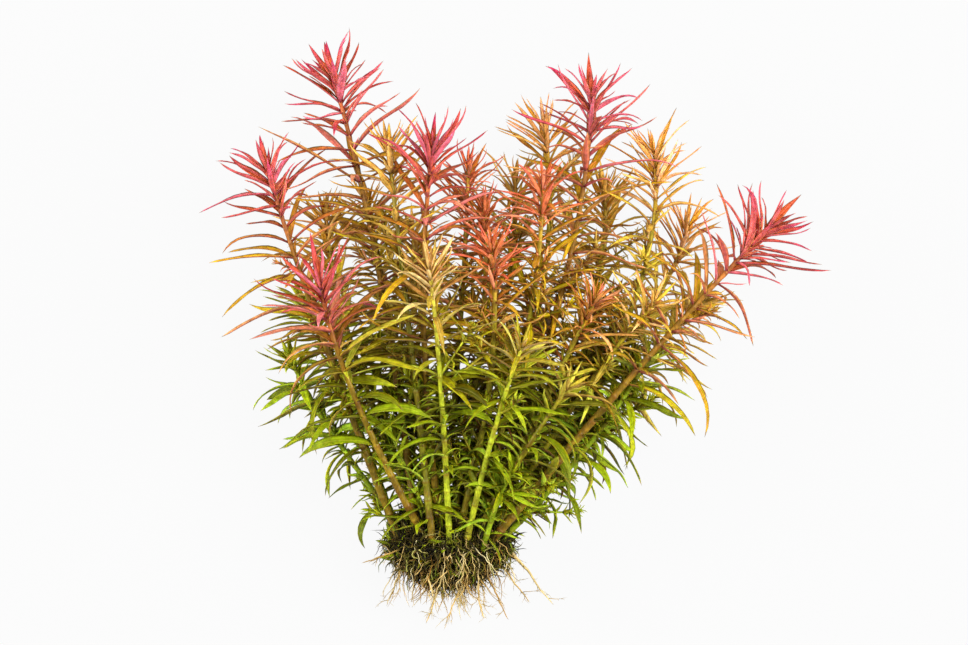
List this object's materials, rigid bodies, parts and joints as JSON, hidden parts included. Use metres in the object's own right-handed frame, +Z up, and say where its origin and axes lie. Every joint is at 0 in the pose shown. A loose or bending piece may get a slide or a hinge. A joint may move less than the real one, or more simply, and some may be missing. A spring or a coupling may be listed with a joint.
{
  "type": "rotala bunch",
  "caption": "Leafy bunch of a red-tipped aquarium stem plant, lying on its back, with slender whorled shoots fanning from a mossy root ball.",
  "frame": {"origin": "middle of the bunch's footprint, on the surface that it lies on", "axes": "+Y the way the shoots grow, +Z up from the surface to the side that shows, +X to the right seen from above"},
  "size_m": [0.1774, 0.1792, 0.078],
  "materials": {
    "pink": "satin",
    "coral": "satin",
    "orange": "satin",
    "straw": "satin",
    "olive": "satin",
    "green": "satin",
    "root": "matte"
  },
  "bodies": {
    "root": {"pink_shoot_1": "pink", "pink_shoot_2": "pink", "pink_shoot_3": "pink", "pink_shoot_4": "pink", "pink_shoot_5": "pink", "pink_shoot_6": "pink", "coral_shoot_1": "coral", "coral_shoot_2": "coral", "coral_shoot_3": "coral", "coral_shoot_4": "coral", "coral_shoot_5": "coral", "orange_shoot_1": "orange", "orange_shoot_2": "orange", "orange_shoot_3": "orange", "orange_shoot_4": "orange", "orange_shoot_5": "orange", "straw_shoot_1": "straw", "straw_shoot_2": "straw", "olive_shoot_1": "olive", "olive_shoot_2": "olive", "olive_shoot_3": "olive", "olive_shoot_4": "olive", "olive_shoot_5": "olive", "olive_shoot_6": "olive", "olive_shoot_7": "olive", "green_shoot_1": "green", "green_shoot_2": "green", "green_shoot_3": "green", "green_shoot_4": "green", "green_shoot_5": "green", "root_ball": "root"}
  },
  "joints": []
}
